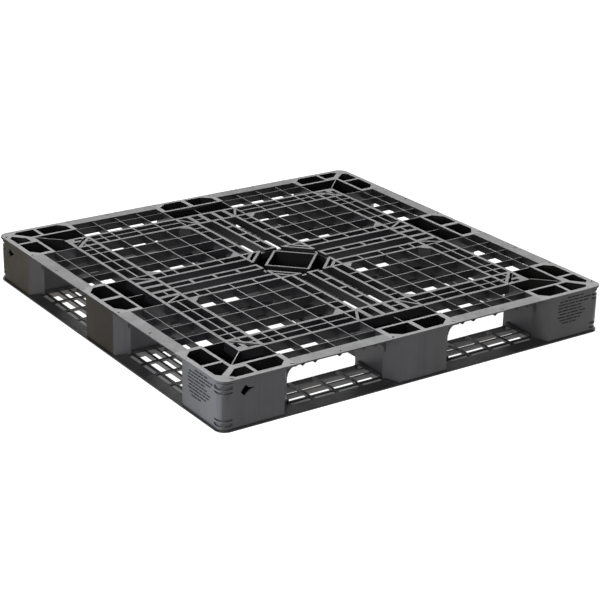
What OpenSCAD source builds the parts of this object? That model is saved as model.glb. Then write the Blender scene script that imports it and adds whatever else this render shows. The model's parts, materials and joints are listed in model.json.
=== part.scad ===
// Plastic pallet with a slotted base, nine legs and an open grid deck.
// Fork entry is from all four sides. Millimetres, +Z up.
// The origin is the centre of the underside, and side "s" faces -Y.
// The whole pallet repeats every 90 degrees about Z.

/* [Overall] */
// Length and width of the square pallet
pallet_w = 1100; // [1060:10:1160]
// Height from the floor to the load surface
pallet_h = 120; // [114:1:140]
// How far the leg faces stand back from the rim and base edges
face_setback = 4; // [2:0.5:6]
// Radius of the vertical pallet corners at the rim
corner_r = 26; // [22:1:30]

/* [Deck] */
// Height from the underside of the deck bars to the top of the rim
deck_h = 23; // [16:1:24]
// How far the inner deck lies below the raised rim
rim_rise = 1.7; // [0.5:0.1:2.5]
// Thickness of the flat rim over the legs
rim_t = 5; // [4:0.5:7]
// Thickness of the flat rim over the fork windows
window_rim_t = 2.5; // [2.5:0.5:4]
// Width of the flat rim over the fork windows
rim_w = 35; // [30:1:40]
// Width of the main deck bars
bar_w = 8; // [6:0.5:9]
// Width of the inner frame's two long bars
frame_bar_w = 9; // [7:0.5:10]
// Width of the ribs in the four field grids
field_rib_w = 3.75; // [3:0.25:5]
// Width of the inner frame's rungs and middle bar
rung_w = 4.75; // [3.5:0.25:6]
// Width of the wide bars where the cross arms meet the inner frame
wide_bar_w = 12; // [9:0.5:13]
// Width of the thin ribs between the inner frame and the rim
border_rib_w = 2.5; // [2:0.25:3.5]
// How far the field ribs lie below the deck bars
field_drop = 1.5; // [0.5:0.25:2]
// How far the border ribs lie below the rim
border_drop = 2; // [1:0.25:3]
// Leg length of the triangular corner gussets
gusset = 23; // [15:1:27]
// Radius of the upper corners of the fork windows
window_r = 23; // [15:1:26]

/* [Legs] */
// Half of the clear width between a side leg's two tunnel walls
side_leg_half = 97; // [95:1:99]
// How far the legs' tunnel walls stand back under the rim
window_setback = 3; // [2:0.5:4]
// Width of the slanted faces at the fork windows, seen from outside
chamfer_w = 27; // [22:1:30]
// How far the slanted faces reach into the windows
leg_chamfer = 32; // [26:1:34]
// Wall thickness of the legs
wall = 4; // [3:0.5:4.5]
// Height of the bumper ribs on the pallet corners
bumper_h = 6; // [5:0.5:6.5]
// Half diagonal of the square tube in the centre
tube_half = 76; // [66:1:80]

/* [Base] */
// Thickness of the base edge and of the base under the legs
edge_t = 4; // [3:0.5:6]
// Thickness of the base in the tunnels
base_t = 12; // [10:0.5:14]
// Width of the base strips in the fork windows
base_strip_w = 126; // [125:0.5:130]
// Half width of the base's cross arms
base_arm_half = 61; // [56:1:65]
// Length of the ramp at each fork window
ramp_len = 28; // [20:1:34]
// Height of the kerbs beside the legs, above the base
kerb_h = 8; // [4:1:10]

/* [Hidden] */
$fn = 48;
half = pallet_w / 2;
top = pallet_h;
deck_top = top - rim_rise;
deck_z = top - deck_h;
frame_z = deck_z - 2;
arch_z = deck_z + 3;
arch_t = 3.5;
rim_z = top - rim_t;
thin_rim_z = top - window_rim_t;
arm_edge = 93;
frame_in = half - 193;
frame_mid = half - 162;
frame_out = half - 132;
border_mid = half - 69;
pitch = (frame_in - arm_edge) / 4;
field_lo = arm_edge + bar_w / 2;
field_hi = frame_in - frame_bar_w / 2;
cell_lo = frame_in + frame_bar_w / 2;
cell_hi = frame_out - frame_bar_w / 2;
frame_edge = frame_out + frame_bar_w / 2;
rim_in = half - rim_w;
cell_depth = half - frame_edge;
leg_back = frame_edge - 14.5;
leg_depth = half - leg_back;
leg_arm = half - field_hi - 1;
cell_front = 71;
cell_back = half - cell_hi - 2;
thin_wall = 3;
body_half = side_leg_half - window_setback;
body_arm = leg_arm - window_setback;
window_lo = side_leg_half;
window_hi = half - leg_arm;
pocket_z = edge_t + wall;
lid_z = rim_z - 4;
ladder_in = 13.5;
ladder_out = 60.4;
slot_bar = 8.5;
slot_end = 7;
base_in = half - base_strip_w;
blind_row = [37.5, 12];
slot_rows = [[70, 26], [98, 21], [122.5, 18.5]];
cut = 0.5;

// ---- flat shapes ----

// A bar along X from x0 to x1 with its middle at y.
module bar_x(x0, x1, y, w) {
    translate([x0, y - w / 2])
        square([x1 - x0, w]);
}

// A bar along Y from y0 to y1 with its middle at x.
module bar_y(y0, y1, x, w) {
    translate([x - w / 2, y0])
        square([w, y1 - y0]);
}

// A slanted bar of width w from point p to point q.
module bar_slant(p, q, w) {
    d = (q - p) / norm(q - p);
    n = [-d[1], d[0]] * w / 2;
    polygon([p + n, p - n, q - n, q + n]);
}

// A right triangle with its square corner at p and legs of length a and b.
module corner_plate(p, a, b) {
    polygon([p, p + [a, 0], p + [0, b]]);
}

// Extrudes flat shapes from z0 to z1.
module slab(z0, z1) {
    translate([0, 0, z0])
        linear_extrude(height = z1 - z0)
            children();
}

// Turns a shape made for side "s" to side k.
module side(k) {
    rotate([0, 0, 90 * k])
        children();
}

// Lowers the top of the thin window wall of a deep cell, from x and y inwards.
module low_top_cut(x, y) {
    translate([x, y, top - border_drop])
        cube([10, cell_depth - cell_front + 1, 10]);
}

// ---- corner leg, drawn with the pallet corner at 0,0 ----

function swap(list) = [for (p = list) [p[1], p[0]]];

// Plan of the body, with arms of depth d.
module corner_body(d) {
    s = face_setback;
    front = body_arm - chamfer_w;
    side = s + leg_chamfer;
    polygon([
        [corner_r, s], [front, s], [body_arm, side], [body_arm, d],
        [d, d], [d, body_arm],
        [side, body_arm], [s, front], [s, corner_r]
    ]);
    translate([corner_r, corner_r])
        circle(r = corner_r - s);
}

// Plan of the top plate.
module corner_top() {
    polygon([
        [corner_r, 0], [leg_arm, 0], [leg_arm, cell_front],
        [body_arm, cell_front], [body_arm, cell_depth],
        [cell_depth, cell_depth],
        [cell_depth, body_arm], [cell_front, body_arm],
        [cell_front, leg_arm], [0, leg_arm], [0, corner_r]
    ]);
    translate([corner_r, corner_r])
        circle(r = corner_r);
}

// The four outer cells of a corner leg, with their outer edge at e and window side at far.
// The corner next to the window is cut by cx along the face and cy into the leg.
module corner_outer_cells(e, far, cx, cy) {
    near = [[103, e], [far - cx, e], [far, e + cy], [far, 62], [103, 62]];
    row = [[46, e], [94, e], [94, 51], [66, 51], [37, 25]];
    column = [[46, e], [94, e], [94, 62], [66, 62], [36, 24]];
    polygon(near);
    polygon(swap(near));
    polygon(row);
    polygon(swap(column));
}

// The two deep cells behind them, either side of a thin slanted rib.
module corner_deep_cells(back) {
    far = body_arm - thin_wall;
    cell = [[cell_front + 2, cell_front], [far, cell_front], [far, back], [back + 2, back]];
    polygon(cell);
    polygon(swap(cell));
}

// The band that the bumper ribs stand in, from z0 to z1.
module corner_recess(z0, z1) {
    deep = face_setback + 4;
    translate([0, 0, z0])
        linear_extrude(height = z1 - z0)
            difference() {
                square([33, 33]);
                translate([corner_r, corner_r])
                    circle(r = corner_r - deep);
                polygon([[corner_r, deep], [40, deep], [40, 40], [deep, 40], [deep, corner_r]]);
            }
}

// The keyhole-shaped eye in one face.
module eye_hole() {
    translate([65, 3 * wall + 1, 88])
        rotate([90, 0, 0])
            linear_extrude(height = 3 * wall)
                polygon([
                    [-12, -2], [0, 13], [9, 5], [22, 3.5],
                    [22, 0.5], [9, -4], [-2, -13]
                ]);
}

// A whole corner leg, with its two arms.
module corner_solid() {
    far = body_arm - thin_wall;
    difference() {
        union() {
            slab(edge_t, frame_z)
                corner_body(leg_depth);
            slab(frame_z, rim_z)
                corner_body(cell_depth);
            slab(rim_z, top)
                corner_top();
        }
        slab(pocket_z, lid_z)
            corner_outer_cells(face_setback + wall, body_arm - wall, chamfer_w - 2, leg_chamfer - 2);
        slab(lid_z - cut, top + cut)
            corner_outer_cells(14, leg_arm - 14, 19, 19);
        slab(pocket_z, frame_z)
            corner_deep_cells(cell_back);
        slab(frame_z - cut, top + cut)
            corner_deep_cells(cell_depth);
        corner_recess(edge_t + bumper_h + 1, edge_t + bumper_h + 8);
        corner_recess(edge_t + 2 * bumper_h + 8, edge_t + 2 * bumper_h + 12);
        corner_recess(rim_z - 3, rim_z);
        corner_recess(rim_z - bumper_h - 11, rim_z - bumper_h - 3);
        corner_recess(rim_z - 2 * bumper_h - 15, rim_z - 2 * bumper_h - 11);
        eye_hole();
        rim_mark(half - 361 - 1, 9);
        rim_mark(34, 9);
        for (m = [0, 1])
            mirror([m, -m, 0])
                low_top_cut(far, cell_front);
    }
}

// The part of the corner leg between u0, v0 and u1, v1.
module corner_part(k, u0, v0, u1, v1) {
    side(k)
        translate([-half, -half, 0])
            intersection() {
                corner_solid();
                translate([u0, v0, -1])
                    cube([u1 - u0, v1 - v0, top + 2]);
            }
}

module corner_leg(k) {
    color([0.2, 0.21, 0.22])
        corner_part(k, -1, -1, leg_depth, leg_depth);
}

// The arm along the side to the right of the corner, seen from outside.
module leg_arm_right(k) {
    color([0.24, 0.25, 0.26])
        corner_part(k, leg_depth, -1, leg_arm + 1, leg_depth);
}

// The arm along the side to the left of the corner.
module leg_arm_left(k) {
    color([0.24, 0.25, 0.26])
        corner_part(k, -1, leg_depth, leg_depth, leg_arm + 1);
}

// A short shallow groove in the rim.
module rim_mark(x, y) {
    translate([x, y, top])
        rotate([0, 0, 35])
            cube([2.5, 10, 3.6], center = true);
}

// ---- side leg, drawn on side "s" ----

// Plan of the body, from the face to depth d.
module side_body(d) {
    w = body_half;
    front = w - chamfer_w;
    side = face_setback + leg_chamfer - half;
    polygon([
        [-w, d - half], [-w, side], [-front, face_setback - half],
        [front, face_setback - half], [w, side], [w, d - half]
    ]);
}

// Plan of the top plate.
module side_top() {
    translate([-side_leg_half, -half])
        square([2 * side_leg_half, cell_front]);
    translate([-body_half, -half])
        square([2 * body_half, cell_depth]);
}

// A deep cell from x0 to x1 and back to depth d.
module side_deep_cell(x0, x1, d) {
    translate([x0, cell_front - half])
        square([x1 - x0, d - cell_front]);
}

module side_cell(x, e, bx, by) {
    polygon([
        [6.5, e - half], [x - bx, e - half], [x, e + by - half],
        [x, 63 - half], [6.5, 63 - half]
    ]);
}

module side_leg(k) {
    far = body_half - thin_wall;
    color([0.22, 0.23, 0.24])
        side(k)
            difference() {
                union() {
                    slab(edge_t, frame_z)
                        side_body(leg_depth);
                    slab(frame_z, rim_z)
                        side_body(cell_depth);
                    slab(rim_z, top)
                        side_top();
                }
                for (m = [0, 1])
                    mirror([m, 0, 0]) {
                        slab(pocket_z, lid_z)
                            side_cell(
                                body_half - wall, face_setback + wall,
                                chamfer_w - 2, leg_chamfer - 2
                            );
                        slab(lid_z - cut, top + cut)
                            side_cell(82, 12, 24, 20);
                        slab(pocket_z, frame_z)
                            side_deep_cell(1.25, far, cell_back);
                        slab(frame_z - cut, top + cut)
                            side_deep_cell(1.25, far, cell_depth);
                        low_top_cut(far, cell_front - half);
                        rim_mark(88, 9 - half);
                    }
                slab(deck_top - 6, top + cut)
                    side_deep_cell(-2, 2, cell_depth);
            }
}

// ---- centre ----

module octagon(w, c) {
    polygon([
        [w - c, -w], [w, c - w], [w, w - c], [w - c, w],
        [c - w, w], [-w, w - c], [-w, c - w], [c - w, -w]
    ]);
}

module diamond(r) {
    polygon([[r, 0], [0, r], [-r, 0], [0, -r]]);
}

module centre_leg() {
    color([0.2, 0.2, 0.21])
        difference() {
            slab(base_t, deck_z)
                octagon(side_leg_half, leg_chamfer);
            slab(base_t + wall, deck_z + cut)
                octagon(side_leg_half - wall, leg_chamfer - 1.7);
        }
}

module centre_tube() {
    color([0.26, 0.26, 0.27])
        slab(base_t + wall, deck_top)
            difference() {
                diamond(tube_half + 4.6);
                diamond(tube_half - 4.6);
            }
}

// ---- deck between the legs, drawn on side "s" to the right ----

// A rib under the rim with a slanted front end.
module rim_rib(x) {
    translate([x + border_rib_w / 2, 0, 0])
        rotate([90, 0, -90])
            linear_extrude(height = border_rib_w)
                polygon([
                    [rim_in, arch_z], [rim_in + 12, arch_z],
                    [rim_in + 27, thin_rim_z], [rim_in, thin_rim_z]
                ]);
}

// How far a leg's face stands back from the window edge, at depth d from the pallet edge.
function leg_gap(d) =
    window_setback + chamfer_w * max(0, (face_setback + leg_chamfer - d) / leg_chamfer);

// The lintel under the inner edge of the rim, with rounded lower corners.
module lintel() {
    front = rim_w - arch_t;
    lo = window_lo - leg_gap(rim_w) - 1;
    hi = window_hi + leg_gap(rim_w) + 1;
    slab(rim_z, thin_rim_z)
        bar_x(window_lo, window_hi, arch_t / -2 - rim_in, arch_t);
    difference() {
        slab(arch_z - window_r, rim_z)
            polygon([
                [window_lo - leg_gap(front), front - half],
                [window_hi + leg_gap(front), front - half],
                [window_hi + leg_gap(rim_w), -rim_in],
                [window_lo - leg_gap(rim_w), -rim_in]
            ]);
        translate([0, 1 - rim_in, 0])
            rotate([90, 0, 0])
                linear_extrude(height = arch_t + 2) {
                    translate([lo + window_r, 0])
                        square([hi - lo - 2 * window_r, arch_z]);
                    for (x = [lo + window_r, hi - window_r])
                        translate([x, arch_z - window_r])
                            circle(r = window_r);
                }
    }
}

module border() {
    difference() {
        slab(thin_rim_z, top)
            translate([window_lo, -half])
                square([window_hi - window_lo, rim_w]);
        rim_mark(arm_edge + 2 * pitch + 8, 9 - half);
    }
    slab(arch_z, rim_z)
        bar_x(body_half, half - body_arm, -border_mid, border_rib_w);
    slab(arch_z, top - border_drop) {
        bar_x(window_lo, window_hi, -border_mid, border_rib_w);
        for (i = [1:3])
            bar_y(-rim_in - 1, -frame_edge, arm_edge + i * pitch, border_rib_w);
    }
    for (i = [0.5, 1, 2, 3, 3.5])
        rim_rib(arm_edge + i * pitch);
    lintel();
}

module border_left(k) {
    color([0.3, 0.31, 0.33])
        side(k)
            mirror([1, 0, 0])
                border();
}

module border_right(k) {
    color([0.33, 0.33, 0.35])
        side(k)
            border();
}

// ---- inner frame, drawn on side "s" with the corner at -X ----

// The corner where two inner frame bars meet, in plan.
module frame_corner() {
    bar_y(-cell_hi, -field_hi, -frame_in, frame_bar_w);
    bar_y(-frame_edge, -field_hi, -frame_out, frame_bar_w);
    bar_x(-cell_hi, -field_hi, -frame_in, frame_bar_w);
    bar_y(-frame_mid, -field_hi, -frame_mid, rung_w);
    bar_slant([-frame_in + 4, -cell_hi - 2], [-cell_hi - 2, -frame_in + 4], bar_w);
    difference() {
        corner_plate([-cell_hi - 1, -cell_hi - 1], 46, 46);
        translate([-cell_hi, 2 - cell_hi + 12])
            square([11, 22]);
        corner_plate([-frame_mid - 4, -cell_hi + 2], 19, 19);
    }
}

module inner_frame(k) {
    color([0.36, 0.36, 0.38])
        side(k) {
            slab(frame_z, deck_top) {
                bar_x(-frame_edge, field_hi, -frame_out, frame_bar_w);
                bar_x(-field_hi - frame_bar_w, -field_lo, -frame_in, frame_bar_w);
                bar_x(field_lo, field_hi, -frame_in, frame_bar_w);
                bar_x(-frame_mid, -arm_edge, -frame_mid, rung_w);
                bar_x(arm_edge, field_hi, -frame_mid, rung_w);
                for (s = [-1, 1]) {
                    for (i = [0, 1, 2, 3, 3.5])
                        bar_y(-cell_hi - 1, -cell_lo, s * (arm_edge + i * pitch), rung_w);
                    for (x = [19.3, 54.5])
                        bar_y(-cell_hi - 1, -cell_lo, s * x, wide_bar_w);
                    corner_plate([s * field_lo, -field_hi], s * gusset, gusset);
                    bar_slant([s * 62, -cell_lo - 2], [s * arm_edge, -cell_hi - 1], 6.5);
                }
                bar_x(19.3, 54.5, -frame_mid + 3, rung_w);
                frame_corner();
            }
            slab(deck_top - 14, deck_top - 10)
                translate([24, -cell_hi - 1])
                    square([26, cell_hi - frame_mid + 4]);
        }
}

// ---- cross arms, drawn on side "s" ----

module cross_arm(k) {
    color([0.28, 0.28, 0.3])
        side(k) {
            slab(deck_z, deck_top) {
                bar_x(-field_lo, field_lo, -frame_in, frame_bar_w);
                for (s = [-1, 1]) {
                    bar_y(-field_hi - 1, -arm_edge, s * ladder_in, bar_w);
                    bar_y(-field_hi - 1, -field_lo, s * ladder_out, bar_w + 0.5);
                    bar_y(-field_hi - 1, -field_lo, s * arm_edge, bar_w);
                    for (i = [1, 2, 3, 3.5])
                        bar_x(s > 0 ? ladder_out : -arm_edge, s > 0 ? arm_edge : -ladder_out,
                            -arm_edge - i * pitch, rung_w);
                }
                bar_x(-ladder_in, ladder_in, -arm_edge - bar_w / 2, bar_w);
                for (i = [1:3])
                    bar_x(-ladder_in, ladder_in, -arm_edge - i * pitch, bar_w);
                bar_x(33, field_lo, -arm_edge, bar_w);
                bar_y(-field_lo, -33, arm_edge, bar_w);
                bar_slant([35, -arm_edge - 1], [arm_edge + 1, -35], 7);
                bar_slant([60, 1 - arm_edge], [arm_edge - 1, -60], bar_w);
                if (k % 2 == 0)
                    corner_plate(
                        [arm_edge, -field_lo],
                        gusset + bar_w / 2, -gusset - bar_w / 2
                    );
            }
            slab(deck_z, deck_top - 6)
                bar_x(-32, 35, -arm_edge, bar_w);
        }
}

module field_grid(k) {
    color([0.42, 0.42, 0.44])
        side(k)
            slab(deck_z, deck_top - field_drop)
                for (i = [1:3]) {
                    bar_x(field_lo, field_hi, -arm_edge - i * pitch, field_rib_w);
                    bar_y(-field_hi, -field_lo, arm_edge + i * pitch, field_rib_w);
                }
}

// ---- base, drawn on side "s" ----

// A slot in fork window column i from z upwards, w wide, with its inner edge d from the pallet edge.
module base_slot(i, d, w, z) {
    lo = arm_edge + i * pitch + (i == 0 ? slot_end : slot_bar / 2);
    hi = arm_edge + (i + 1) * pitch - (i == 3 ? slot_end : slot_bar / 2);
    translate([lo, d - w - half, z])
        cube([hi - lo, w, base_t + 2]);
}

// The raised, ramped part of the base in one fork window, cut to fit the legs.
module base_ramp() {
    start = body_half - chamfer_w;
    end = half - body_arm + chamfer_w;
    difference() {
        translate([start, 0, 0])
            rotate([90, 0, 90])
                linear_extrude(height = end - start)
                    polygon([
                        [-half, edge_t - 1], [-half, edge_t], [ramp_len - half, base_t],
                        [-base_in, base_t], [-base_in, edge_t - 1]
                    ]);
        slab(edge_t, base_t + cut)
            side_body(leg_depth);
        slab(edge_t, base_t + cut)
            translate([half, -half])
                mirror([1, 0, 0])
                    corner_body(leg_depth);
    }
}

module base_kerbs() {
    front = leg_chamfer + face_setback;
    for (x = [body_half, half - body_arm - 6])
        translate([x, front - half, base_t - 1])
            cube([6, base_strip_w - front, kerb_h + 1]);
}

// One row of blind slots, three rows of through slots, and the hollows under the slats and cross bars.
module base_window_cuts() {
    lo = arm_edge + slot_end;
    hi = arm_edge + 4 * pitch - slot_end;
    for (i = [0:3]) {
        base_slot(i, blind_row[0], blind_row[1], base_t - 3);
        for (r = slot_rows)
            base_slot(i, r[0], r[1], -1);
    }
    translate([lo, 42 - half, -1])
        cube([hi - lo, base_strip_w - 41, 2]);
    for (i = [1:3], r = slot_rows)
        translate([arm_edge + i * pitch - 5, r[0] - r[1] - half, -1])
            cube([10, r[1], base_t - 4]);
}

module base_strip(k) {
    side_plate = [-side_leg_half, side_leg_half];
    plates = [[-base_in, -window_hi], side_plate, [window_hi, leg_back]];
    color([0.16, 0.17, 0.18])
        side(k)
            difference() {
                union() {
                    slab(0, edge_t) {
                        translate([corner_r - half, -half])
                            square([half + base_in - corner_r, base_strip_w]);
                        translate([-half, corner_r - half])
                            square([corner_r + 1, base_strip_w - corner_r]);
                        translate([corner_r - half, corner_r - half])
                            circle(r = corner_r);
                        for (x = plates)
                            translate([x[0], -base_in - 1])
                                square([x[1] - x[0], base_in - leg_back + 1]);
                    }
                    for (m = [0, 1])
                        mirror([m, 0, 0]) {
                            base_ramp();
                            base_kerbs();
                        }
                }
                for (m = [0, 1])
                    mirror([m, 0, 0])
                        base_window_cuts();
            }
}

module base_arm(k) {
    rows = [[108, 44], [166, 52], [232, 52], [298, 52], [364, 36]];
    color([0.15, 0.16, 0.17])
        side(k)
            difference() {
                slab(0, base_t)
                    bar_y(-leg_back, -side_leg_half - 3, 0, 2 * base_arm_half);
                for (r = rows, x = [-54, -24.5, 8.5, 38])
                    translate([x, -r[0] - r[1], -1])
                        cube([16, r[1], base_t + 2]);
            }
}

module base_centre() {
    color([0.14, 0.15, 0.16])
        slab(0, base_t)
            octagon(side_leg_half + 3, leg_chamfer + 3);
}

corner_leg(0);  // corner_leg_sw
corner_leg(1);  // corner_leg_se
corner_leg(2);  // corner_leg_ne
corner_leg(3);  // corner_leg_nw
leg_arm_right(0);  // leg_arm_sw_s
leg_arm_right(1);  // leg_arm_se_e
leg_arm_right(2);  // leg_arm_ne_n
leg_arm_right(3);  // leg_arm_nw_w
leg_arm_left(0);  // leg_arm_sw_w
leg_arm_left(1);  // leg_arm_se_s
leg_arm_left(2);  // leg_arm_ne_e
leg_arm_left(3);  // leg_arm_nw_n
side_leg(0);  // side_leg_s
side_leg(1);  // side_leg_e
side_leg(2);  // side_leg_n
side_leg(3);  // side_leg_w
centre_leg();
centre_tube();
border_left(0);  // border_s_left
border_left(1);  // border_e_left
border_left(2);  // border_n_left
border_left(3);  // border_w_left
border_right(0);  // border_s_right
border_right(1);  // border_e_right
border_right(2);  // border_n_right
border_right(3);  // border_w_right
inner_frame(0);  // inner_frame_s
inner_frame(1);  // inner_frame_e
inner_frame(2);  // inner_frame_n
inner_frame(3);  // inner_frame_w
cross_arm(0);  // cross_arm_s
cross_arm(1);  // cross_arm_e
cross_arm(2);  // cross_arm_n
cross_arm(3);  // cross_arm_w
field_grid(0);  // field_grid_se
field_grid(1);  // field_grid_ne
field_grid(2);  // field_grid_nw
field_grid(3);  // field_grid_sw
base_strip(0);  // base_strip_s
base_strip(1);  // base_strip_e
base_strip(2);  // base_strip_n
base_strip(3);  // base_strip_w
base_arm(0);  // base_arm_s
base_arm(1);  // base_arm_e
base_arm(2);  // base_arm_n
base_arm(3);  // base_arm_w
base_centre();
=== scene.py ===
import json
import math

import bmesh
import bpy
import numpy as np
from mathutils import Matrix, Vector
from mathutils.bvhtree import BVHTree

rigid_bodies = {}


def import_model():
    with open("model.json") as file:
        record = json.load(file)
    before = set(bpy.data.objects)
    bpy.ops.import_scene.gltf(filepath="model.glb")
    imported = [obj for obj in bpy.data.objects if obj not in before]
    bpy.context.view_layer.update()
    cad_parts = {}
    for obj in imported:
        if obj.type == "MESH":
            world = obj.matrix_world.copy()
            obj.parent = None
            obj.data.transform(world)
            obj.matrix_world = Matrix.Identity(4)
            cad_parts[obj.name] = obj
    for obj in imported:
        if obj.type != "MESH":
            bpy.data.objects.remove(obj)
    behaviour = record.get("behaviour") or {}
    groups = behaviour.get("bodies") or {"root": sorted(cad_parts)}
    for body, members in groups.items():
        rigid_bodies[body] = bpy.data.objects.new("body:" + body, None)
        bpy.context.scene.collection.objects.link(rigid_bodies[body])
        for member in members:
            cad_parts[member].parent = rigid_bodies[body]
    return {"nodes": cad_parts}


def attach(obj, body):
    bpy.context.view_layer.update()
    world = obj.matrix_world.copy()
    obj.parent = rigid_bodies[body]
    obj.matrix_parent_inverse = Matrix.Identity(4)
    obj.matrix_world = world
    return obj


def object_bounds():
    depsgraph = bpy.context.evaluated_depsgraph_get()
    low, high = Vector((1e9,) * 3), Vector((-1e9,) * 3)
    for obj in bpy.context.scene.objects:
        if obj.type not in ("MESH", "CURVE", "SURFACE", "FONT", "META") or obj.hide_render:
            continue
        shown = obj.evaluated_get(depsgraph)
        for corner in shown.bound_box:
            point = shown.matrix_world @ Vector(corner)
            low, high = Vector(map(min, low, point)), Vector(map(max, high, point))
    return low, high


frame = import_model()
CAD_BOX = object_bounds()
NODES = frame["nodes"]
MM = 0.001
HALF = CAD_BOX[1].x

# size of a face normal's upright part: over LEVEL on a level face, under UPRIGHT on a wall
LEVEL = 0.9
UPRIGHT = 0.3
SHEER = 0.1

for obj in list(bpy.context.scene.objects):
    if obj.type in {"LIGHT", "CAMERA"}:
        bpy.data.objects.remove(obj)


# ---------------------------------------------------------------- shader helper
class Tree:
    """A short way to add shader nodes and link them."""

    def __init__(self, name):
        self.mat = bpy.data.materials.new(name)
        self.mat.use_nodes = True
        self.nt = self.mat.node_tree
        self.nt.nodes.clear()

    def put(self, socket, value):
        if isinstance(value, bpy.types.NodeSocket):
            self.nt.links.new(value, socket)
        else:
            socket.default_value = value

    def add(self, kind, inputs, **props):
        node = self.nt.nodes.new(kind)
        for key, value in props.items():
            setattr(node, key, value)
        for key, value in inputs.items():
            self.put(node.inputs[key], value)
        return node

    def ramp(self, fac, start, end):
        """Grey ramp between two (position, value) stops."""
        node = self.add("ShaderNodeValToRGB", {"Fac": fac})
        for mark, (place, value) in zip(node.color_ramp.elements, (start, end)):
            mark.position = place
            mark.color = (value, value, value, 1)
        return node.outputs["Color"]

    def noise(self, vector, scale, detail=3, rough=0.55, distort=0.0):
        inputs = {
            "Vector": vector, "Scale": scale, "Detail": detail,
            "Roughness": rough, "Distortion": distort,
        }
        return self.add("ShaderNodeTexNoise", inputs).outputs["Fac"]

    def math(self, operation, *values, clamp=False):
        inputs = dict(enumerate(values))
        node = self.add("ShaderNodeMath", inputs, operation=operation, use_clamp=clamp)
        return node.outputs[0]

    def mix(self, fac, a, b):
        """Blends colour b over a; the colour sockets of the Mix node are 6 and 7."""
        node = self.add("ShaderNodeMix", {}, data_type="RGBA", blend_type="MIX")
        for socket, value in ((0, fac), (6, a), (7, b)):
            self.put(node.inputs[socket], value)
        return node.outputs[2]

    def stretched(self, vector, scale):
        return self.add("ShaderNodeMapping", {"Vector": vector, "Scale": scale}).outputs["Vector"]

    def split(self, vector):
        return self.add("ShaderNodeSeparateXYZ", {"Vector": vector}).outputs

    def split_absolute(self, vector):
        node = self.add("ShaderNodeVectorMath", {0: vector}, operation="ABSOLUTE")
        return self.split(node.outputs[0])

    def surface(self, inputs):
        """Ends the tree with a Principled shader and gives back the material."""
        shader = self.add("ShaderNodeBsdfPrincipled", inputs)
        self.add("ShaderNodeOutputMaterial", {"Surface": shader.outputs[0]})
        return self.mat


# ---------------------------------------------------------------- plastic
DUST_COLOUR = (0.105, 0.105, 0.112, 1)
SCUFF_COLOUR = (0.2, 0.2, 0.21, 1)
BROWN_TINT = (0.016, 0.012, 0.006, 1)
GREY_TINT = (0.085, 0.090, 0.104, 1)
LINE_COLOUR = (0.004, 0.004, 0.004, 1)
WARM = (1.12, 1.02, 0.86)
FLECK_GAIN = 2.4
BAND_GAIN = 1.9
PLASTIC_IOR = 1.49

TINT_X = -540 * MM
LINE_OUT = 544 * MM
LINE_AT = 450 * MM
LINE_HALF = 0.7 * MM


def side_tint(t, place, normal, colour):
    """Tints the -X side: browner to +Y, greyer at the -Y corner."""
    xyz = t.split(place)
    facing = t.math("MULTIPLY", t.split(normal)["X"], -1.0)
    facing = t.ramp(facing, (0.5, 0.0), (0.9, 1.0))
    facing = t.math("MULTIPLY", facing, t.math("LESS_THAN", xyz["X"], TINT_X))
    along = t.math("ADD", xyz["Y"], HALF)
    brown = t.math("MULTIPLY", facing, t.ramp(along, (0.5, 0.0), (0.75, 0.75)))
    grey = t.math("MULTIPLY", facing, t.ramp(along, (0.05, 0.6), (0.22, 0.0)))
    return t.mix(grey, t.mix(brown, colour, BROWN_TINT), GREY_TINT)


def parting_lines(t, place, normal, colour):
    """Faint upright mould lines on the outer leg faces."""
    p = t.split_absolute(place)
    n = t.split_absolute(normal)
    total = 0.0
    for across, out in (("X", "Y"), ("Y", "X")):
        off_line = t.math("ABSOLUTE", t.math("SUBTRACT", p[across], LINE_AT))
        line = t.math("LESS_THAN", t.math("MINIMUM", p[across], off_line), LINE_HALF)
        line = t.math("MULTIPLY", line, t.math("GREATER_THAN", n[out], LEVEL))
        line = t.math("MULTIPLY", line, t.math("GREATER_THAN", p[out], LINE_OUT))
        total = t.math("ADD", line, total)
    return t.mix(t.math("MULTIPLY", total, 0.5), colour, LINE_COLOUR)


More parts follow.
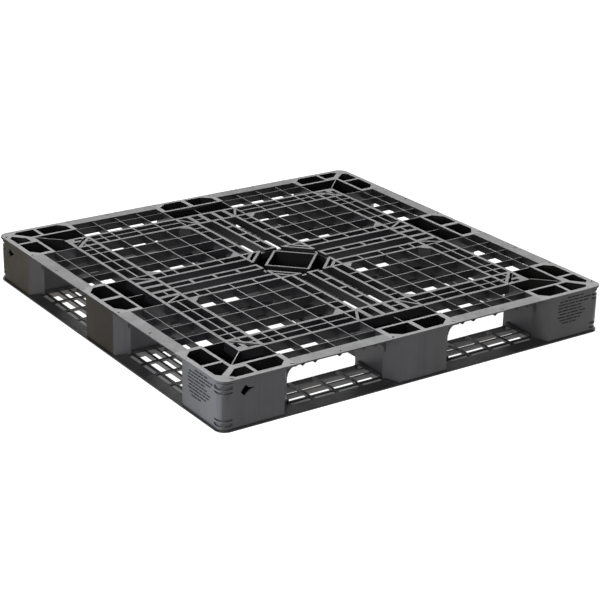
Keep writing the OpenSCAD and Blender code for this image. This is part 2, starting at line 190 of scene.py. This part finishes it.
def plastic(name, dark, light, rough=0.42, bands=0.0, shine_level=0.38, dusty=0.5):
    """Near-black recycled polypropylene: mottled, fine grained, scuffed and dusty on top."""
    t = Tree(name)
    place = t.add("ShaderNodeTexCoord", {}).outputs["Object"]
    normal = t.add("ShaderNodeNewGeometry", {}).outputs["Normal"]
    flat = t.ramp(t.split(normal)["Z"], (0.55, 0.0), (0.95, 1.0))

    mottle = t.ramp(t.noise(place, 9, 5, 0.6), (0.3, 0.0), (0.75, 1.0))
    colour = t.mix(mottle, (*dark, 1), (*light, 1))
    cloud = t.ramp(t.noise(place, 2.3, 2, 0.5), (0.45, 0.0), (0.7, 0.55))
    colour = t.mix(cloud, colour, (*(c * k for c, k in zip(light, WARM)), 1))
    flecks = t.ramp(t.noise(place, 620, 2, 0.7), (0.62, 0.0), (0.74, 1.0))
    flecks = t.math("MULTIPLY", flecks, 0.35)
    colour = t.mix(flecks, colour, (*(c * FLECK_GAIN for c in light), 1))

    if bands:
        stripes = t.noise(t.stretched(place, (26, 26, 0.6)), 1.0, 4, 0.6)
        strength = t.math("MULTIPLY", t.ramp(stripes, (0.42, 0.0), (0.68, 1.0)), bands)
        colour = t.mix(strength, colour, (*(c * BAND_GAIN for c in light), 1))
        colour = side_tint(t, place, normal, colour)
        colour = parting_lines(t, place, normal, colour)

    dust = t.ramp(t.noise(place, 34, 6, 0.65, 0.4), (0.35, 0.25), (0.7, 1.0))
    dust = t.math("MULTIPLY", flat, dust)
    colour = t.mix(t.math("MULTIPLY", dust, dusty), colour, DUST_COLOUR)

    scratches = []
    for stretch in ((340, 7, 60), (8, 300, 60)):
        scratch = t.noise(t.stretched(place, stretch), 1.0, 3, 0.6, 0.3)
        scratches.append(t.ramp(scratch, (0.66, 0.0), (0.73, 1.0)))
    scuffs = t.math("MULTIPLY", t.math("MAXIMUM", *scratches), flat)
    colour = t.mix(t.math("MULTIPLY", scuffs, 0.3), colour, SCUFF_COLOUR)

    shine = t.math("MULTIPLY_ADD", t.noise(place, 21, 4, 0.6), 0.22, rough - 0.11)
    shine = t.math("ADD", shine, t.math("MULTIPLY", scuffs, 0.12), clamp=True)

    grain = t.math("MULTIPLY", t.noise(place, 900, 2, 0.6), 0.35)
    ripple = t.math("MULTIPLY", t.noise(place, 46, 3, 0.5), 0.8)
    height = t.math("ADD", grain, ripple)
    height = t.math("SUBTRACT", height, t.math("MULTIPLY", scuffs, 0.2))
    bump = t.add("ShaderNodeBump", {"Strength": 0.35, "Distance": 0.0006, "Height": height})

    return t.surface({
        "Base Color": colour,
        "Roughness": shine,
        "IOR": PLASTIC_IOR,
        "Specular IOR Level": shine_level,
        "Normal": bump.outputs["Normal"],
    })


DECK = plastic("deck_plastic", (0.007, 0.007, 0.008), (0.012, 0.012, 0.014),
               rough=0.40, shine_level=0.26)
LEGS = plastic("leg_plastic", (0.013, 0.013, 0.014), (0.023, 0.023, 0.026),
               rough=0.38, bands=0.25, dusty=0.3)
BROWN = plastic("leg_plastic_brown", (0.006, 0.0045, 0.002), (0.010, 0.0075, 0.0035),
                bands=0.2, shine_level=0.06)
# Painted shade: the raised dashes get a darker colour for the shading among the raised letters, and
# a duller finish.
MARK_SHADE = plastic("marking_painted_shade", (0.004, 0.004, 0.004), (0.007, 0.007, 0.007),
               rough=0.6, shine_level=0.12)
# Painted light: pale floors of the outer blind slots, standing in for reflected light.
POCKET_LIGHT = plastic("base_pocket_painted_light", (0.16, 0.16, 0.167), (0.235, 0.235, 0.243), rough=0.5)
# Painted light: lighter grey slot walls, standing in for bounce light from the floor.
SLOT_WALL_LIGHT = plastic("base_slot_walls_painted_light", (0.062, 0.060, 0.060), (0.098, 0.095, 0.094), rough=0.5)
# Painted shade: a near-black, duller plastic for the shaded insides of the hollow legs.
CELL_SHADE = plastic("leg_cell_painted_shade", (0.002, 0.002, 0.002), (0.005, 0.005, 0.005),
               rough=0.6, shine_level=0.1, dusty=0.1)
BASE = plastic("base_plastic", (0.006, 0.006, 0.007), (0.011, 0.011, 0.011),
               shine_level=0.26, dusty=0.12)

BROWN_NODES = ("corner_leg_nw", "leg_arm_nw_w", "side_leg_w")

BASE_TOP = 12 * MM
POCKET_Z = 9 * MM
POCKET_IN, POCKET_OUT = HALF - 38 * MM, HALF - 25 * MM
SLOT_IN, SLOT_OUT = HALF - 122 * MM, HALF - 39 * MM

CELL_REACH = 160 * MM
CELL_START = 0.5 * MM
CELL_OUT = HALF - 12 * MM
CELL_FLOOR = 20 * MM


def farther(point):
    """Distance from the middle of the pallet along X or Y, whichever is longer."""
    return max(abs(point.x), abs(point.y))


def paint_all():
    for name, node in NODES.items():
        node.data.materials.clear()
        if name.startswith("base_"):
            node.data.materials.append(BASE)
        else:
            node.data.materials.append(LEGS if "leg" in name else DECK)


def paint_brown_side():
    """Browner plastic on the outer faces at the far left."""
    for name in BROWN_NODES:
        mesh = NODES[name].data
        mesh.materials.append(BROWN)
        for face in mesh.polygons:
            if face.normal.x < -UPRIGHT and face.center.x < TINT_X:
                face.material_index = 1


def paint_base_slot_light():
    """Painted light: pale floors in the outer row of slots and lighter grey walls in the others,
    standing in for light reflected into the slots.
    """
    for name, node in NODES.items():
        if not name.startswith("base_strip"):
            continue
        node.data.materials.append(POCKET_LIGHT)
        node.data.materials.append(SLOT_WALL_LIGHT)
        for face in node.data.polygons:
            out = farther(face.center)
            is_floor = face.normal.z > LEVEL and abs(face.center.z - POCKET_Z) < MM
            if is_floor and POCKET_IN < out < POCKET_OUT:
                face.material_index = 1
                continue
            # painted light on the slot walls
            is_wall = abs(face.normal.z) < SHEER and face.center.z < BASE_TOP
            if is_wall and SLOT_IN < out < SLOT_OUT:
                face.material_index = 2


def paint_cell_shade(nodes):
    """Painted shade on the insides of the hollow legs: a darker colour on a cell wall that looks
    across at another wall, and on the low cell floors.
    """
    points, faces = [], []
    for node in nodes:
        first = len(points)
        points.extend(v.co.copy() for v in node.data.vertices)
        faces.extend(tuple(first + i for i in face.vertices) for face in node.data.polygons)
    tree = BVHTree.FromPolygons(points, faces)
    for node in nodes:
        index = len(node.data.materials)
        node.data.materials.append(CELL_SHADE)
        for face in node.data.polygons:
            if abs(face.normal.z) < UPRIGHT:
                start = face.center + face.normal * CELL_START
                if tree.ray_cast(start, face.normal, CELL_REACH)[0] is not None:
                    face.material_index = index
            elif (face.normal.z > LEVEL and farther(face.center) < CELL_OUT
                  and face.center.z < CELL_FLOOR):
                face.material_index = index


# ---------------------------------------------------------------- softened edges
SOFT_WIDTH = 0.0007
SHARP_TURN = math.radians(28)
TOUCH = 0.00012
BOX_MARGIN = 0.0005
TESTED_AT = (0.14, 0.38, 0.63, 0.87)
SEAM_HITS = 3
MICRON = 1e-6
MICRONS_PER_M = 1e6


def sharp_edges(mesh):
    """Edges at a sharp corner, with their two ends. Edges that lie on each other come as one."""
    bm = bmesh.new()
    bm.from_mesh(mesh)
    keys = [tuple(round(c * MICRONS_PER_M) for c in v.co) for v in bm.verts]
    sides = {}
    for e in bm.edges:
        key = frozenset((keys[e.verts[0].index], keys[e.verts[1].index]))
        members, normals = sides.setdefault(key, ([], []))
        members.append(e.index)
        normals.extend(f.normal.copy() for f in e.link_faces)
    bm.free()
    for key, (members, normals) in sides.items():
        if len(key) < 2 or len(normals) < 2:
            continue
        if min(normals[0].dot(n) for n in normals[1:]) <= math.cos(SHARP_TURN):
            a, b = (Vector(c) * MICRON for c in key)
            yield members, a, b


def lies_on(point, trees):
    return any(tree.find_nearest(point, TOUCH)[0] is not None for tree in trees)


def soften(nodes):
    """Bevels every sharp edge that doesn't lie against another node."""
    trees = {}
    boxes = {}
    for name, obj in nodes.items():
        points = [v.co.copy() for v in obj.data.vertices]
        trees[name] = BVHTree.FromPolygons(points, [tuple(p.vertices) for p in obj.data.polygons])
        co = np.array(points)
        boxes[name] = (co.min(0) - BOX_MARGIN, co.max(0) + BOX_MARGIN)
    for name, obj in nodes.items():
        near = [
            trees[other] for other in nodes
            if other != name
            and np.all(boxes[other][0] <= boxes[name][1])
            and np.all(boxes[name][0] <= boxes[other][1])
        ]
        weights = np.zeros(len(obj.data.edges), np.float32)
        for members, a, b in sharp_edges(obj.data):
            tested = [a.lerp(b, part) for part in TESTED_AT]
            if sum(lies_on(point, near) for point in tested) < SEAM_HITS:
                weights[members] = 1.0
        attribute = obj.data.attributes.new("bevel_weight_edge", "FLOAT", "EDGE")
        attribute.data.foreach_set("value", weights)
        weld = obj.modifiers.new("weld", "WELD")
        weld.merge_threshold = MICRON
        bevel = obj.modifiers.new("soft_edges", "BEVEL")
        bevel.limit_method = "WEIGHT"
        bevel.width = SOFT_WIDTH
        bevel.segments = 2
        bevel.use_clamp_overlap = True
        bevel.harden_normals = False


# ---------------------------------------------------------------- raised marking
MARK_FACE = HALF - 4 * MM
MARK_X = (409 * MM, 513 * MM)
MARK_Z = (44 * MM, 108 * MM)
# free space before and after the dashes of each row, top row first, in mm
MARK_MARGINS = [
    (28, 24), (4, 0), (0, 4), (0, 30), (0, 26), (4, 12), (0, 18), (6, 30), (14, 44),
]
MARK_LIFT = 0.45 * MM
DASH_H = 3.4 * MM
DASH_GAP = 2.6 * MM
DASH_LEAST = 6 * MM
DASH_LENGTHS = (7, 26)


def new_object(name, mesh):
    obj = bpy.data.objects.new(name, mesh)
    bpy.context.scene.collection.objects.link(obj)
    return obj


def dash(bm, turn, x0, x1, z):
    """One raised dash with sloped ends and edges, on the leg face that turn carries it to."""
    low, high = z - DASH_H / 2, z + DASH_H / 2
    slope = MARK_LIFT * 1.2
    rings = []
    for lift, inset in ((0.0, 0.0), (MARK_LIFT * 0.7, slope * 0.4), (MARK_LIFT, slope)):
        corners = (
            (x0 + inset, low + inset), (x1 - inset, low + inset),
            (x1 - inset, high - inset), (x0 + inset, high - inset),
        )
        rings.append([bm.verts.new(turn @ Vector((x, -MARK_FACE - lift, h))) for x, h in corners])
    for a, b in zip(rings, rings[1:]):
        for i in range(4):
            j = (i + 1) % 4
            bm.faces.new((a[i], a[j], b[j], b[i]))
    bm.faces.new(rings[-1])


def marking(side_name, quarter, rng):
    """Rows of plain dashes in place of the moulded lettering on one leg face, in the darker
    painted-shade plastic.
    """
    turn = Matrix.Rotation(math.radians(90 * quarter), 4, "Z")
    bm = bmesh.new()
    step = (MARK_Z[1] - MARK_Z[0]) / (len(MARK_MARGINS) - 1)
    for row, (lead, trail) in enumerate(MARK_MARGINS):
        x = MARK_X[0] + lead * MM
        end = MARK_X[1] - trail * MM
        while x < end - DASH_LEAST:
            stop = min(x + rng.uniform(*DASH_LENGTHS) * MM, end)
            dash(bm, turn, x, stop, MARK_Z[1] - row * step)
            x = stop + DASH_GAP
    mesh = bpy.data.meshes.new("marking_" + side_name)
    bm.to_mesh(mesh)
    bm.free()
    mesh.materials.append(MARK_SHADE)
    obj = new_object("marking_" + side_name, mesh)
    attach(obj, "root")


# ---------------------------------------------------------------- stage
FLOOR_HALF = 30.0
FLOOR_DARK = (0.38, 0.38, 0.38, 1)
FLOOR_LIGHT = (0.40, 0.40, 0.40, 1)
FLOOR_GLOW = 0.93
WORLD_COLOUR = (0.96, 0.98, 1.0, 1)
WORLD_STRENGTH = 0.20
# name, position, aim, size in m, power in W
SOFTBOXES = (
    ("back_softbox", (2.6, 4.2, 3.4), (0, 0, 0), (5.5, 3.0), 310),
    ("top_softbox", (-0.4, 0.6, 3.6), (0, 0, 0), (3.0, 3.0), 30),
    ("left_softbox", (-2.6, -1.9, 1.3), (-0.55, -0.5, 0.06), (1.6, 1.2), 115),
)


def floor():
    s = FLOOR_HALF
    mesh = bpy.data.meshes.new("studio_floor")
    mesh.from_pydata([(-s, -s, 0), (s, -s, 0), (s, s, 0), (-s, s, 0)], [], [(0, 1, 2, 3)])
    t = Tree("floor_white")
    place = t.add("ShaderNodeTexCoord", {}).outputs["Object"]
    cloud = t.ramp(t.noise(place, 0.7, 2), (0.3, 0.0), (0.7, 1.0))
    mesh.materials.append(t.surface({
        "Base Color": t.mix(cloud, FLOOR_DARK, FLOOR_LIGHT),
        "Roughness": 0.8,
        "Specular IOR Level": 0.2,
        "Emission Color": (1, 1, 1, 1),
        "Emission Strength": FLOOR_GLOW,
    }))
    new_object("studio_floor", mesh)


def softbox(name, spot, aim, size, power):
    light = bpy.data.lights.new(name, "AREA")
    light.shape = "RECTANGLE"
    light.size, light.size_y = size
    light.energy = power
    obj = new_object(name, light)
    obj.location = spot
    obj.rotation_euler = (Vector(aim) - Vector(spot)).to_track_quat("-Z", "Y").to_euler()


def studio():
    floor()
    world = bpy.data.worlds.new("studio")
    bpy.context.scene.world = world
    world.use_nodes = True
    back = world.node_tree.nodes["Background"]
    back.inputs["Color"].default_value = WORLD_COLOUR
    back.inputs["Strength"].default_value = WORLD_STRENGTH
    for values in SOFTBOXES:
        softbox(*values)
    bpy.context.scene.view_settings.view_transform = "Standard"
    bpy.context.scene.view_settings.look = "None"


# ---------------------------------------------------------------- camera
SENSOR_MM = 36
LENS_MM = 103.2798
LENS_SHIFT = (0.015220, -0.032852)
AZIMUTH = math.radians(-34.33716)
ELEVATION = math.radians(21.07922)
ROLL = math.radians(1.01558)
DISTANCE = 4.35877
TARGET = Vector((0, 0, 0.062))


def camera():
    data = bpy.data.cameras.new("camera")
    data.sensor_width = SENSOR_MM
    data.lens = LENS_MM
    data.shift_x, data.shift_y = LENS_SHIFT
    cam = new_object("camera", data)
    back = Vector((
        math.sin(AZIMUTH) * math.cos(ELEVATION),
        -math.cos(AZIMUTH) * math.cos(ELEVATION),
        math.sin(ELEVATION),
    ))
    look = (-back).to_track_quat("-Z", "Y").to_matrix().to_4x4()
    spot = Matrix.Translation(TARGET + back * DISTANCE)
    cam.matrix_world = spot @ look @ Matrix.Rotation(ROLL, 4, "Z")
    bpy.context.scene.camera = cam


# ---------------------------------------------------------------- the scene
paint_all()
paint_brown_side()
paint_base_slot_light()
paint_cell_shade([node for name, node in NODES.items() if "leg" in name or name == "centre_tube"])
soften(NODES)
RNG = np.random.default_rng(12)
for quarter, side_name in enumerate("senw"):
    marking(side_name, quarter, RNG)
studio()
camera()
